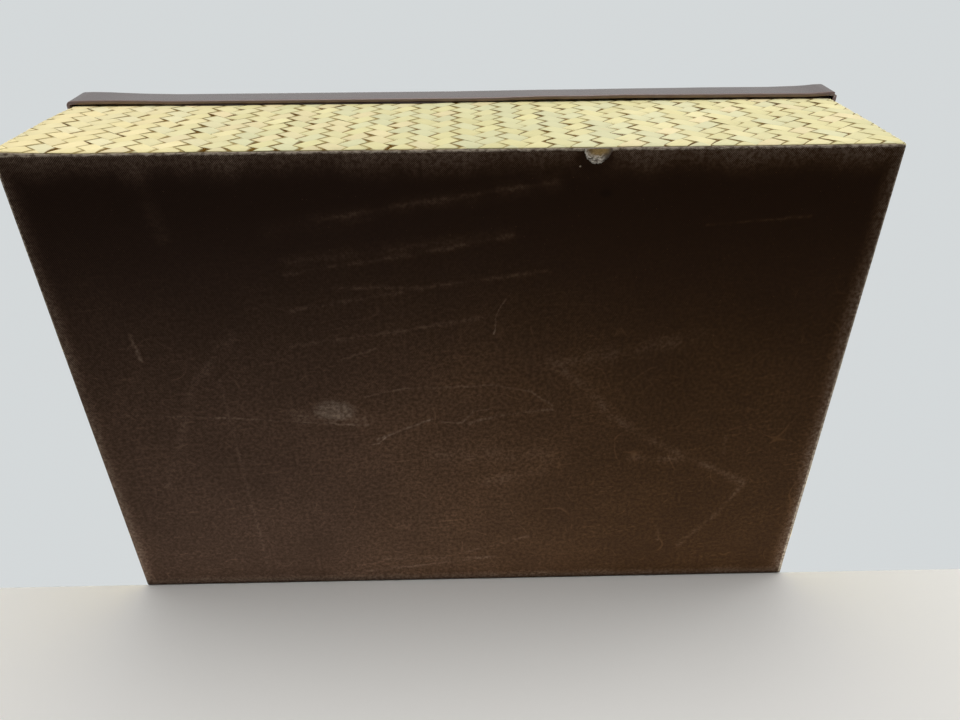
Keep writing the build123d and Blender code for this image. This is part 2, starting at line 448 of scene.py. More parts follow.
def twill_group():
    """Twill cloth: a diagonal rib, broken into stitches where the threads cross. Height 0 to 1."""
    group, given, result = new_group("twill", {"Pitch": 0.001}, {"Height": "Float"})
    place = place_in(group)
    sway = noise(place, 60.0, 1.0)
    x, y, z = axes_of(place)
    per_turn = calc("DIVIDE", 2 * math.pi, given["Pitch"])
    along = times(x, per_turn)
    across = times(plus(y, z), per_turn)
    slant = scaled(sway, 3.0, plus(along, across))
    rib = scaled(calc("SINE", slant), 0.5, 0.5)
    thread = scaled(calc("SINE", minus(along, across)), 0.5, 0.5)
    group.links.new(scaled(times(rib, thread), 0.5, times(rib, 0.5)), result["Height"])
    return group


def scratch_group():
    """How near a point is to a straight stroke: 1 on it, falling ever more gently to 0 at its width."""
    group, given, result = new_group(
        "scratch", {"Place": None, "Start": None, "End": None, "Width": 0.001}, {"Mask": "Float"})
    span = vector("SUBTRACT", given["End"], given["Start"])
    reach = vector("SUBTRACT", given["Place"], given["Start"])
    dots = [vector("DOT_PRODUCT", one, span) for one in (reach, span)]
    # A Clamp node, as the Math node's own clamp keeps every stroke's values on the stack at once.
    share = add_node(group, "Clamp", {"Value": calc("DIVIDE", dots[0], dots[1])}).outputs[0]
    away = vector("DISTANCE", reach, vector("SCALE", span, share))
    group.links.new(calc("POWER", ramp(away, given["Width"], 0.0, "LINEAR"), 1.7), result["Mask"])
    return group


twill = twill_group()
scratch = scratch_group()
cloth_low, cloth_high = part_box("base_cloth")

# Marks on the cloth: points in mm on the underside, then half width in mm and strength. The first
# set is of fine scratches, and the second of soft scuffs and creases.
scratches = [
    ([(-50, -84), (-20, -89), (37, -97.6)], 1.7, 0.2), ([(-66, -62), (-8, -71), (21, -77)], 1.8, 0.24),
    ([(-66, -46), (-10, -56), (36, -62)], 1.9, 0.24), ([(-48, -56), (-8, -56)], 1.8, 0.2),
    ([(-68, -30), (-22, -36.4), (16, -43)], 1.8, 0.24), ([(-50, -22.5), (-34, -28)], 1.1, 0.26),
    ([(-145, 3.2), (-132, 4), (-98, 6), (-40, 11)], 0.9, 0.46),
    ([(-40.6, 22.2), (-36, 21), (-32.8, 17.8)], 0.6, 1.0), ([(-37, 19), (-15, 9.4), (-12, 8)], 1.0, 0.66),
    ([(-8, 10), (1, 10.4), (6, 4), (12.5, 3.6)], 0.8, 0.6),
    ([(-40, -4), (-24, -8), (14, -9), (30, -6), (40, 2)], 1.0, 0.34),
    ([(4, 11), (16, 7), (40, 4)], 1.4, 0.42), ([(-100, -14), (-97, 100)], 1.6, 0.16),
    ([(-131, -36), (-130, -24)], 1.8, 0.5), ([(118, 21), (119, 30)], 1.4, 0.4),
    ([(-60, 104), (-20, 99), (16, 93.6)], 1.5, 0.38), ([(-40, 94), (14, 94.4)], 1.2, 0.28),
    ([(0, 91), (32, 80)], 1.2, 0.3), ([(94, 74), (95.6, 84)], 1.6, 0.34),
    ([(94, -80), (132, -83)], 1.2, 0.2), ([(21.5, -52.8), (17.6, -48), (15.4, -42), (14.6, -34)], 0.6, 0.9)]
scuffs = [
    ([(-70, -80), (36, -97)], 6.0, 0.12), ([(-64, -67), (20, -77)], 5.0, 0.12),
    ([(-91, -35), (-112, -10), (-128, 30), (-134, 44)], 4.0, 0.18), ([(-112, -106), (-109, -78)], 5.0, 0.16),
    ([(-72, 5), (-42, 8)], 7.0, 0.26),
    ([(44, -16), (53, -8), (66, 8), (90, 26), (108, 35), (131, 48)], 4.4, 0.27),
    ([(78, 32), (104, 33)], 5.0, 0.22), ([(131, 49), (120, 70), (106, 88)], 2.6, 0.25),
    ([(40, -19), (98, -31)], 8.0, 0.2), ([(-10, 28), (40, 30)], 9.0, 0.14),
    ([(10, 45), (36, 39)], 6.0, 0.18)]


def stroke_masks(place, strokes):
    """The strongest of a list of strokes at each point."""
    marks = 0.0
    for points, width, strength in strokes:
        for ends in zip(points, points[1:]):
            start, stop = [(x * mm, y * mm, 0) for x, y in ends]
            mask = use_group(place.id_data, scratch,
                             {"Place": place, "Start": start, "End": stop, "Width": width * mm})["Mask"]
            marks = larger(times(mask, strength), marks)
    return marks


def blotch(place, centre, reach):
    """A soft oval mask about a centre in mm: 1 to half its reach, and 0 from 1.15 times it."""
    away = vector("SUBTRACT", place, (centre[0] * mm, centre[1] * mm, 0))
    away = stretch(away, (1 / (reach[0] * mm), 1 / (reach[1] * mm), 0))
    return ramp(vector("LENGTH", away), 1.15, 0.5)


def shaken(place, scale, detail, size):
    """A place moved about a little in x and y, so that what is drawn there has ragged edges."""
    wander = add_node(place.id_data, "TexNoise", {"Vector": place, "Scale": scale, "Detail": detail})
    wander = vector("SUBTRACT", wander.outputs["Color"], (0.5, 0.5, 0.5))
    return vector("MULTIPLY_ADD", wander, (size, size, 0), place)


def fibre_group():
    """Fine curved lines, short and broken: where a smooth noise passes its middle value."""
    group, given, result = new_group(
        "loose_fibres", {"Place": None, "Shift": None, "Scale": 60.0, "Fineness": 0.02}, {"Mask": "Float"})
    place = vector("ADD", given["Place"], given["Shift"])
    bends = noise(place, given["Scale"], 0.6)
    line = ramp(calc("ABSOLUTE", minus(bends, 0.5)), given["Fineness"], 0.0, "LINEAR")
    shown = ramp(noise(place, times(given["Scale"], 2.3), 2.0), 0.52, 0.64)
    group.links.new(times(line, shown), result["Mask"])
    return group


fibres = fibre_group()


def cloth_material():
    """Twill cloth, with dust rubbed in along its edges, along each mark and in fine hairs, and a pale
    film over the middle that is partly dust and partly painted sheen.
    """
    made, tree, out = blank_material("book_cloth")
    place = place_in(tree)
    x, y, _ = axes_of(place)
    rib = use_group(tree, twill, {"Pitch": 0.75 * mm})["Height"]
    bent = shaken(place, 200.0, 2.0, 1.5 * mm)
    slow = ramp(noise(place, 90.0, 2.0), 0.38, 0.62)
    speckle = ramp(noise(place, 620.0, 4.0, 0.7), 0.36, 0.66)
    broken = times(scaled(slow, 0.75, 0.25), scaled(speckle, 0.8, 0.3))
    fine = times(stroke_masks(bent, scratches), times(broken, 0.72))
    soft = times(stroke_masks(bent, scuffs), times(broken, 0.75))
    patch = times(blotch(bent, (-54, 2.5), (10.0, 6.0)), scaled(speckle, 0.4, 0.2))
    hairs = 0.0
    for shift, scale, fineness, share in (((0, 0, 0), 32.0, 0.006, 0.13),
                                          ((0.31, 0.17, 0), 58.0, 0.011, 0.11)):
        inputs = {"Place": place, "Shift": shift, "Scale": scale, "Fineness": fineness}
        hairs = larger(times(use_group(tree, fibres, inputs)["Mask"], share), hairs)
    for turn, shift in ((-0.11, 0.0), (-0.22, 0.4)):
        inputs = {"Vector": place, "Location": (shift, 0, 0), "Rotation": (0, 0, turn),
                  "Scale": (0.04, 0.0009, 1)}
        along = add_node(tree, "Mapping", inputs, vector_type="TEXTURE").outputs[0]
        streak = times(ramp(noise(along, 1.0, 2.0), 0.6, 0.8), 0.2)
        hairs = larger(times(streak, speckle), hairs)
    drift = scaled(noise(stretch(place, (1, 0.4, 1)), 60.0, 4.0, 0.65), 12 * mm, -6 * mm)
    front = calc("POWER", ramp(plus(y, drift), -93.0 * mm, -111.0 * mm), 2.4)
    side = minus(calc("ABSOLUTE", x), times(drift, 0.5))
    side = calc("POWER", ramp(side, 150.0 * mm, 162.0 * mm), 2.4)
    back = ramp(minus(y, times(drift, 0.5)), 103.0 * mm, 109.0 * mm)
    border = larger(times(front, 0.56), larger(times(side, 0.62), times(back, 0.34)))
    border = times(times(border, scaled(speckle, 0.8, 0.3)), scaled(rib, 1.2, 0.4))
    # Round the tear the edge dust is left out, so the cloth is darker there.
    bare = blotch(bent, (50.0, -106.0), (9.0, 8.0))
    border = times(border, scaled(bare, -0.85, 1.0))
    across = ramp(plus(x, times(drift, 4.0)), -110 * mm, 130 * mm)
    lower = ramp(plus(y, drift), -98 * mm, 10 * mm)
    # A pale film, partly dust and partly painted sheen: strongest in the middle, fading out towards the front
    # edge and weaker towards the right end.
    dust_and_sheen = scaled(ramp(noise(place, 26.0, 5.0, 0.65), 0.3, 0.75), 0.06, 0.12)
    dust_and_sheen = minus(dust_and_sheen, times(ramp(y, 10 * mm, 100 * mm), 0.03))
    dust_and_sheen = times(dust_and_sheen, scaled(across, -0.32, 1.0))
    middle = ramp(calc("ABSOLUTE", x), 95 * mm, 0)
    dust_and_sheen = times(dust_and_sheen, scaled(middle, 0.45, 1.0))
    dust_and_sheen = times(times(dust_and_sheen, lower), scaled(speckle, 0.9, 0.5))
    worn = larger(larger(fine, times(patch, 0.6)), border)
    worn = plus(plus(worn, soft), plus(times(hairs, lower), dust_and_sheen))
    worn = times(worn, scaled(rib, 0.8, 0.6), clamp=True)
    lint = ramp(noise(place, 1300.0, 2.0, 0.6), 0.7, 0.76)
    worn = larger(worn, times(lint, 0.35))
    light = mixed(across, (0.026, 0.0135, 0.0086, 1), (0.027, 0.0115, 0.0044, 1))
    thread = mixed(rib, (0.0056, 0.003, 0.0018, 1), light)
    dust = mixed(across, (0.2, 0.118, 0.076, 1), (0.205, 0.102, 0.038, 1))
    marked = plus(plus(fine, soft), plus(patch, border))
    marked = times(marked, 3.0, clamp=True)
    dust = mixed(marked, dust, (0.185, 0.132, 0.095, 1))
    # worn holds wear, dust and that painted sheen; it turns the threads to the dust colour.
    colour = mixed(worn, thread, dust)
    spot = times(blotch(bent, (55, -93), (2.6, 1.9)), 0.5)
    colour = mixed(spot, colour, (0.006, 0.003, 0.002, 1))
    fleck = blotch(bent, (45.0, -102.9), (0.42, 0.36))
    colour = mixed(fleck, colour, (0.28, 0.23, 0.17, 1))
    edge = scaled(noise(place, 500.0, 3.0, 0.7), 1.6 * mm, -0.8 * mm)
    end_fold = ramp(plus(calc("ABSOLUTE", x), edge), cloth_high.x + 0.1 * mm, cloth_high.x + 0.8 * mm)
    front_fold = ramp(minus(edge, y), cloth_high.y - 0.9 * mm, cloth_high.y - 0.3 * mm)
    fold = larger(times(end_fold, 0.8), front_fold)
    frayed = ramp(noise(stretch(place, (0.6, 1, 1)), 850.0, 3.0, 0.7), 0.34, 0.6)
    frayed = mixed(frayed, (0.105, 0.075, 0.052, 1), (0.37, 0.315, 0.245, 1))
    colour = mixed(fold, colour, frayed)
    surface(out, colour, 0.9, rib, 0.5, 0.12 * mm, {"Specular IOR Level": 0.03})
    return made


def inside_tear(x, y, margin=0.0):
    """Whether points on the underside lie in the ragged round tear: an ellipse with a wavy edge."""
    across, along = (x - tear_centre[0]) / tear_reach[0], (y - tear_centre[1]) / tear_reach[1]
    angle = np.arctan2(along, across)
    wave = 1 + 0.025 * np.sin(4 * angle + 1.0) + 0.025 * np.sin(11 * angle) + 0.02 * np.sin(29 * angle + 2.0)
    return (np.hypot(across, along) < wave + margin) & (y > tear_centre[1] - 0.1 * mm)


def spread(points):
    """Points of the tray's skin moved as it has spread with use: most low down and at the left.

    The ends of the front go out along x by 1.4 mm at the left and 1.1 mm at the right, and the ends
    of the back by 0.4 and 2.0 mm. The front left corner also comes forward by 1 mm, and the back
    goes back by 0.6 mm. All of it dies away towards the rim as 1 - (z / 68 mm)^4.
    """
    x, y, z = points[..., 0], points[..., 1], points[..., 2]
    low = np.clip(1 - (z / (68 * mm)) ** 4, 0, 1)
    back = np.clip(0.5 + y / (220 * mm), 0, 1)
    end = np.clip((np.abs(x) - 142 * mm) / (18 * mm), 0, 1) ** 1.5
    corner = np.clip((-x - 130 * mm) / (30 * mm), 0, 1) ** 2 * np.clip(-y / (110 * mm), 0, 1) ** 4
    moved = points.copy()
    moved[..., 0] = x + low * end * np.where(x < 0, -1.4 + 1.0 * back, 1.1 + 0.9 * back) * mm
    moved[..., 1] = y + low * (0.6 * np.clip((y - 100 * mm) / (9 * mm), 0, 1) - corner) * mm
    return moved


cloth_x = spaced(cloth_low.x + cloth_corner, cloth_high.x - cloth_corner, 45.5 * mm, 56.5 * mm)
cloth_y = spaced(cloth_low.y + cloth_corner, cloth_high.y - cloth_corner, -108.4 * mm, -103.4 * mm)
grid_x, grid_y, flat_faces = sheet(cloth_x, cloth_y)
flat_points = np.stack([grid_x.ravel(), grid_y.ravel(), np.zeros(grid_x.size)], 1)
edge_points, edge_ways = ring_round((cloth_x[-1], cloth_y[-1]), [0.0] * 4, 5, sides=[
    cloth_x[1:-1], cloth_y[1:-1], cloth_x[-2:0:-1], cloth_y[-2:0:-1]])
flat_end = cloth_corner - cloth_fold
profile = [(0, 0), (flat_end * 0.35, 0), (flat_end * 0.7, 0)]
profile += arc(flat_end, cloth_fold, cloth_fold, -90, 0, 5)
profile += arc(cloth_corner - cloth_top_fold, cloth_high.z - cloth_top_fold, cloth_top_fold, 0, 90, 4)
profile += [(0, cloth_high.z), (cloth_corner - cloth_turn_in, cloth_high.z)]
fold_points = skirt(edge_points, edge_ways, profile).reshape(-1, 3)
fold_faces = ring_faces(len(profile), len(edge_points), len(flat_points))
cloth_points = np.concatenate([flat_points, fold_points])
cloth_faces = np.concatenate([flat_faces, fold_faces])
middles = cloth_points[cloth_faces].mean(1)
torn = inside_tear(middles[:, 0], middles[:, 1]) & (middles[:, 2] < 0.3 * mm)
base_cloth = build_mesh("base_cloth_wrap", spread(cloth_points), cloth_faces[~torn], cloth_material(),
                        cloth_thickness)
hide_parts("base_cloth")
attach(base_cloth, "tray")


def torn_material():
    """What the tear lays bare: tan board in a shallow bowl, and round it a ply of torn pale paper."""
    made, tree, out = blank_material("torn_board")
    place = place_in(tree)
    bent = shaken(place, 700.0, 3.0, 1.6 * mm)
    bared, smudge, speck_a, speck_b, stain = [
        blotch(bent, centre, reach) for centre, reach in (
            ((50.9, -108.8), (4.6, 2.7)), ((56.0, -106.8), (3.8, 5.0)), ((48.8, -105.6), (0.9, 0.45)),
            ((50.5, -105.0), (1.2, 0.45)), ((47.6, -108.2), (1.8, 1.0)))]
    away = vector("SUBTRACT", bent, (50.6 * mm, -109.3 * mm, 0))
    away = vector("LENGTH", stretch(away, (1.0, 0.95, 0)))
    plies = calc("SINE", scaled(noise(place, 260.0), 9.0, times(away, 2 * math.pi / (1.15 * mm))))
    lint = noise(stretch(bent, (1.0, 2.0, 1.0)), 1100.0, 4.0, 0.75)
    ruffle = scaled(plies, 0.08, lint)
    paper = mixed(ramp(ruffle, 0.36, 0.62), (0.17, 0.14, 0.11, 1), (0.74, 0.69, 0.6, 1))
    tan = mixed(ramp(lint, 0.3, 0.7), (0.22, 0.14, 0.05, 1), (0.36, 0.25, 0.105, 1))
    tan = mixed(times(stain, 0.7), tan, (0.11, 0.065, 0.025, 1))
    colour = mixed(times(smudge, 0.95), paper, (0.075, 0.055, 0.042, 1))
    colour = mixed(bared, colour, tan)
    colour = mixed(times(larger(speck_a, speck_b), 0.85), colour, (0.045, 0.03, 0.02, 1))
    surface(out, colour, 0.95, ruffle, 0.9, 0.18 * mm, {"Specular IOR Level": 0.1})
    return made


patch_step = 0.2               # of its grid, in mm
patch_x, patch_y, patch_faces = sheet(np.arange(44.4, 57.0, patch_step) * mm,
                                      np.arange(-109.1, -103.0, patch_step) * mm)
bowl = np.hypot((patch_x - bowl_centre[0]) / bowl_reach[0], (patch_y - bowl_centre[1]) / bowl_reach[1])
ruffle = np.random.default_rng(5).normal(0, 0.035, patch_x.shape)
depth = 0.16 + 0.15 * np.clip(1.25 - bowl, 0, 0.5) / 0.5 + np.clip(ruffle, -0.07, 0.03)
patch_points = np.stack([patch_x, patch_y, np.clip(depth, 0.04, 0.34) * mm], -1).reshape(-1, 3)
middles = patch_points[patch_faces].mean(1)
patch_faces = patch_faces[inside_tear(middles[:, 0], middles[:, 1], 0.06)]
torn_ply = build_mesh("torn_ply", patch_points, patch_faces, torn_material(), ply_thickness)
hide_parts("base_cloth")
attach(torn_ply, "tray")

# ---- Woven mat ----
# Strips of split palm leaf, plaited on the slant over two and under two, then wrapped round the
# walls and glued. Each set of strips is one piece, and runs right round the box.
strip_count = 130              # each way; an even number closes the twill round the box
strip_thickness = 0.26 * mm
strip_lift = 0.17 * mm         # how far a strip rises and dips about the mat's middle
strip_slope = 1.083            # run along the wall for each unit of height
strip_lean = 0.02              # the plait leans a little, so the two slopes differ
strip_rows = 78                # of points along a strip
strip_fill = 1.01              # a strip's width as a share of the room it has
mat_low, mat_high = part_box("woven_mat")
mat_corner = 0.9 * mm          # outer radius of the mat's four bends
mat_crease = 0.9 * mm          # points nearer than this to a bend are drawn to it
# How far each set has been pushed along the front wall, in mm, at these places along it.
push_places = np.linspace(-145, 145, 11) * mm
push = {1: np.array([-2.7, -0.9, 2.9, 2.7, 0.7, -0.35, -1.5, -1.85, -1.8, -1.9, -0.1]) * mm,
        -1: np.array([1.8, 2.8, 2.3, 2.2, 2.45, 2.0, 3.5, 5.3, 5.0, 4.2, 3.7]) * mm}
twill_start = 1.5              # the crossing at the middle of a rising strip's stretch on top
strip_overhang = 0.8 * mm      # how far the strips' cut ends reach past the walls' lower edge
strip_trim = 1.6 * mm          # how far below the mat's top edge they end, under the binding
strip_tuck = 2.2 * mm          # the length over which the strips are drawn in to those ends
mat_colours = np.array([(0.81, 0.745, 0.42), (0.8, 0.735, 0.41), (0.77, 0.73, 0.43),
                        (0.75, 0.725, 0.455), (0.83, 0.73, 0.44), (0.85, 0.78, 0.45), (0.79, 0.73, 0.4)])


def wrap_round(run, out, half_x, half_y, radius):
    """Points at a distance run round a rounded rectangle, anticlockwise from the left end of its
    front side, and moved out from it: straight along each side, then through a quarter turn.
    Points near a turn are drawn to its start or end, so that it stays crisp."""
    sides = np.array([2 * (half_x - radius), 2 * (half_y - radius)] * 2)
    bend = math.pi * radius / 2
    ends = np.cumsum(sides + bend)
    run = run % ends[-1]
    side = np.minimum(np.searchsorted(ends, run, side="right"), 3)
    along = run - (ends[side] - sides[side] - bend)
    past = along - sides[side]
    past = np.where((past > -mat_crease) & (past < bend / 2), 0, np.where(past >= bend / 2, bend, past))
    along = np.where(along < mat_crease, 0, along)
    angle = side * math.pi / 2 + np.clip(past / radius, 0, math.pi / 2)
    straight = np.minimum(along, sides[side])
    start_x = np.array([-1, 1, 1, -1])[side] * (half_x - radius)
    start_y = np.array([-1, -1, 1, 1])[side] * (half_y - radius)
    heading = side * math.pi / 2
    return (start_x + np.cos(heading) * straight + np.sin(angle) * (radius + out),
            start_y + np.sin(heading) * straight - np.cos(angle) * (radius + out))


def waver(generator, count, turns, size, along):
    """A slow random drift for each strip along its length: a few sine waves of random phase."""
    phases = generator.uniform(0, 2 * math.pi, (count, len(turns)))
    sizes = generator.normal(0, size, (count, len(turns)))
    return sum(size[:, None] * np.sin(2 * math.pi * turn * along + phase[:, None])
               for turn, size, phase in zip(turns, sizes.T, phases.T))


def plait(name, leaning, seed, material):
    """One set of strips. A strip's middle is run = number * pitch + leaning * slope * height + push.

    A point's crossing is its strip's number plus the number of the other set's strip at that place.
    Its lift is a flattened cosine of the crossing, four to a wave, high where the strip lies over
    and low where it lies under. Each strip is a closed flat tube of nine points.
    """
    generator = np.random.default_rng(seed)
    depth = strip_lift + 0.6 * strip_thickness
    half_x, half_y = mat_high.x - depth, mat_high.y - depth
    radius = mat_corner - depth
    length = 4 * (half_x + half_y - 2 * radius) + 2 * math.pi * radius
    pitch = length / strip_count
    slope = strip_slope - leaning * strip_lean
    other_slope = strip_slope + leaning * strip_lean
    height = mat_high.z - mat_low.z
    up = np.concatenate([[-strip_overhang, -0.5 * strip_overhang, 0.0, 0.7 * mm],
                         np.linspace(1.4 * mm, height - strip_trim, strip_rows - 4)])
    number = np.arange(strip_count)
    across = np.array([-1, -0.97, -0.48, 0, 0.48, 0.97, 1, 0.97, -0.97])
    mark = np.append(across[:7], [1.3, -1.3])
    skin = np.array([0.46, 0.5, 0.51, 0.52, 0.51, 0.5, 0.46, -0.5, -0.5]) * strip_thickness
    skin = skin - leaning * across * 0.02 * mm
    drift = waver(generator, strip_count, [0.7, 1.7, 3.1], 0.018, up / height)
    width = 1 + 0.6 * waver(generator, strip_count, [0.5, 1.3, 2.3], 0.02, up / height)
    run = (number[:, None] * pitch + leaning * slope * up)[:, :, None]
    run = run + (drift[:, :, None] + 0.5 * strip_fill * width[:, :, None] * across) * pitch
    places = push_places + half_x - radius
    run = run + np.interp(run, places, push[leaning], period=length)
    other = (run - np.interp(run, places, push[-leaning], period=length)) / pitch
    other = other + leaning * other_slope * up[None, :, None] / pitch
    crossing = number[:, None, None] + other
    wave = np.tanh(2.2 * np.cos(math.pi / 2 * (crossing - twill_start))) / math.tanh(2.2)
    sag = waver(generator, strip_count, [2.1, 3.7], 0.03, up / height)[:, :, None] * mm
    free = np.clip((up + strip_overhang) / strip_tuck, 0, 1)[None, :, None] ** 0.6
    out = (leaning * wave * strip_lift + skin) * (0.35 + 0.65 * free) + sag
    out = out - strip_thickness * (1 - free)
    x, y = wrap_round(run, out, half_x, half_y, radius)
    z = np.broadcast_to((mat_low.z + up)[None, :, None], x.shape)
    points = spread(np.stack([x, y, z], -1))
    points[:, 0, :, 2] += generator.uniform(-0.15, 0.2, (strip_count, 1)) * mm
    around = len(across)
    block = strip_rows * around
    quads = ring_faces(strip_rows, around)
    quads = (quads + (number * block)[:, None, None]).reshape(-1, 4)
    bottoms = number[:, None] * block + np.arange(around)
    caps = np.concatenate([bottoms[:, ::-1], bottoms + block - around])
    mesh = bpy.data.meshes.new(name)
    mesh.from_pydata(points.reshape(-1, 3).tolist(), [], quads.tolist() + caps.tolist())
    data = np.stack(np.broadcast_arrays(crossing, mark, number[:, None, None]), -1).reshape(-1, 3)
    cut_ends = np.tile([twill_start + 1 - leaning, 0, 0], (caps.size, 1))
    data = np.concatenate([data[quads.ravel()], cut_ends])
    tints = mat_colours[generator.integers(0, len(mat_colours), strip_count)]
    tints = tints * generator.uniform(0.96, 1.04, (strip_count, 1))
    tints = np.repeat(np.concatenate([tints, np.ones((strip_count, 1))], 1), block, 0)
    for label, kind, domain, key, values in (("crossing", "FLOAT_VECTOR", "CORNER", "vector", data),
                                             ("strip_colour", "FLOAT_COLOR", "POINT", "color", tints)):
        made = mesh.attributes.new(label, kind, domain)
        made.data.foreach_set(key, values.astype(np.float32).ravel())
    made = add_object(name, mesh)
    mesh.materials.append(material)
    mesh.polygons.foreach_set("use_smooth", [True] * len(mesh.polygons))
    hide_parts("woven_mat")
    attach(made, "tray")


def chances(strip, cell, kind):
    """Random values from 0 to 1, the same all over one cell of a strip, and others for each kind."""
    key = add_node(strip.id_data, "CombineXYZ", {0: strip, 1: cell, 2: kind}).outputs[0]
    return add_node(strip.id_data, "TexWhiteNoise", {"Vector": key}, noise_dimensions="3D").outputs


def several(chance):
    """Three independent values from a random colour."""
    return add_node(chance.id_data, "SeparateColor", {0: chance}).outputs


def strip_material(name, top, leaning):
    """Split leaf: pale, with long fibres, and dark where the strip goes under another: brown cut edge
    and painted shade. Its edge faces and back are painted darker in the same way.

    top is the crossing at the middle of each stretch that lies over. Each end of the stretch has
    its own luck: most gaps are thin and light, a few are wide and dark, and all of them taper.
    They are widest towards the end of the wall that the strips lean to, painted there as the shadows
    of the strips' steps. Each stretch also has painted shade towards its ends, and painted light
    makes the colour lighter at the wall's left end and darker in its middle.
    """
    made, tree, out = blank_material(name)
    data = add_node(tree, "Attribute", attribute_name="crossing").outputs["Vector"]
    tint = add_node(tree, "Attribute", attribute_name="strip_colour").outputs["Color"]
    crossing, mark, strip = axes_of(data)
    along_x = axes_of(place_in(tree))["X"]
    wave = calc("DIVIDE", minus(crossing, top), 4.0)
    cell = calc("ROUND", wave)
    away = times(minus(wave, cell), 4.0)
    chance = several(chances(strip, scaled(cell, 2.0, calc("SIGN", away)), 0.0)["Color"])
    luck = calc("POWER", chance["Red"], 2.0)
    taper = scaled(minus(chance["Green"], -0.1), times(mark, 0.9), 1.0)
    # Painted shade: the gaps widen towards the end of the wall that the strips lean to, as the shadows of
    # their steps.
    share = scaled(ramp(along_x, -0.04 - leaning * 0.13, -0.04 + leaning * 0.05), 0.6, 0.4)
    width = times(scaled(luck, 0.23, 0.17), times(taper, share))
    start = minus(1.0, width)
    # Brown cut edge and painted shade where the strip dips under another, in gaps of random width.
    gap_edge_and_shade = ramp(calc("ABSOLUTE", away), start, scaled(width, 0.45, start), "LINEAR")
    gap_edge_and_shade = times(gap_edge_and_shade, scaled(luck, 0.42, 0.7), clamp=True)
    side_luck = chances(strip, calc("ROUND", crossing), 7.0)["Value"]
    # The strip's edge faces and back are darkened as well: brown cut edge and painted shade.
    under = ramp(calc("ABSOLUTE", mark), 1.0, 1.12)
    gap_edge_and_shade = larger(gap_edge_and_shade, times(under, scaled(side_luck, 0.5, 0.45)))
    fibre = noise(stretch(data, (1.2, 9.0, 7.3)), 1.0, 3.0, 0.6)
    stain = ramp(noise(stretch(data, (0.5, 1.1, 3.7)), 1.0, 2.0), 0.56, 0.78)
    tone = several(chances(strip, cell, 3.0)["Color"])
    # Painted shade: each stretch is lighter in its middle and darker towards its ends, where it dips.
    painted_hump_shade = scaled(times(away, away), -0.09, 0.9)
    shade = plus(scaled(fibre, 0.23, painted_hump_shade), times(tone["Red"], 0.07))
    body = vector("SCALE", tint, shade)
    # Painted light: the colour is lighter at the left end along x, darker and yellower in the middle, and a
    # touch lighter towards the right end, as the light falls.
    side = mixed(ramp(along_x, -0.15, -0.06), (1.13, 1.055, 1.02, 1), (0.93, 0.925, 0.87, 1))
    side = mixed(ramp(along_x, 0.01, 0.09), side, (1.015, 1.0, 0.97, 1))
    body = vector("MULTIPLY", body, side)
    body = mixed(times(stain, 0.22), body, (0.74, 0.56, 0.28, 1))
    body = mixed(times(ramp(tone["Green"], 0.6, 1.0), 0.3), body, (0.66, 0.645, 0.4, 1))
    warm = times(ramp(tone["Blue"], 0.6, 1.0), ramp(along_x, 0.02, -0.12))
    body = mixed(times(warm, 0.26), body, (0.9, 0.74, 0.44, 1))
    # The colour of the gaps: brown edge, darkened as painted shade.
    dark = mixed(luck, (0.33, 0.22, 0.05, 1), (0.105, 0.045, 0.004, 1))
    body = mixed(gap_edge_and_shade, body, dark)
    surface(out, body, 0.6, fibre, 0.35, 0.06 * mm, {"Specular IOR Level": scaled(gap_edge_and_shade, -0.2, 0.2)})
    return made


plait("mat_strips_rising", 1, 11, strip_material("strip_rising", twill_start, 1.0))
plait("mat_strips_falling", -1, 12, strip_material("strip_falling", twill_start + 2, -1.0))

# ---- Linings ----
# Sheets of cream paper pasted over the boards inside: round the walls as far up as the rim binding,
# on the tray's floor and under the lid.
cream_paper = pulp_material("cream_paper", (0.62, 0.54, 0.4, 1), (0.4, 0.31, 0.2, 1), 0.35, 0.6, 0.75,
                            0.0001)
dress(["wall_lining", "floor_lining", "lid_lining"], cream_paper)

# ---- Rim binding ----
# A strip of dark leatherette, folded over the top edge of the walls and glued down inside and out.
# It hides the mat's cut top edge, and inside it meets the lining paper.
bind_thickness = 0.28 * mm
bind_fold = 1.1 * mm           # radius of both its folds over the rim
bind_corner = 1.2 * mm         # plan radius of the tray's corners round it
bind_drop = 8.3 * mm           # how far it comes down outside, from its top
bay_half_length = 156 * mm     # to its face inside the tray


def leather_group():
    """Embossed grain: small flat pebbles with creases between them, over slow swells. Height 0 to 1."""
    group, given, result = new_group("leather_grain", {"Pebble": 900.0},
                                     {"Height": "Float", "Worn": "Float"})
    place = place_in(group)
    inputs = {"Vector": place, "Scale": given["Pebble"], "Randomness": 0.9}
    cells = add_node(group, "TexVoronoi", inputs, feature="DISTANCE_TO_EDGE")
    crease = ramp(cells.outputs["Distance"], 0.02, 0.2)
    group.links.new(scaled(noise(place, 70.0, 2.0), 0.5, times(crease, 0.5)), result["Height"])
    group.links.new(ramp(noise(place, 130.0, 4.0, 0.65), 0.45, 0.75), result["Worn"])
    return group


def leather_material(name, colour, worn, roughness, gloss, edge):
    """Grained leatherette, duller and paler where it has been rubbed, most of all below edge."""
    made, tree, out = blank_material(name)
    grain = use_group(tree, leather_grain, {"Pebble": 1100.0})
    low = ramp(axes_of(place_in(tree))["Z"], edge + 0.4 * mm, edge - 0.3 * mm)
    rubbed = larger(times(grain["Worn"], 0.2), low)
    surface(out, mixed(rubbed, colour, worn), scaled(rubbed, 0.08, roughness), grain["Height"], 0.22,
            0.1 * mm, {"IOR": gloss})
    return made


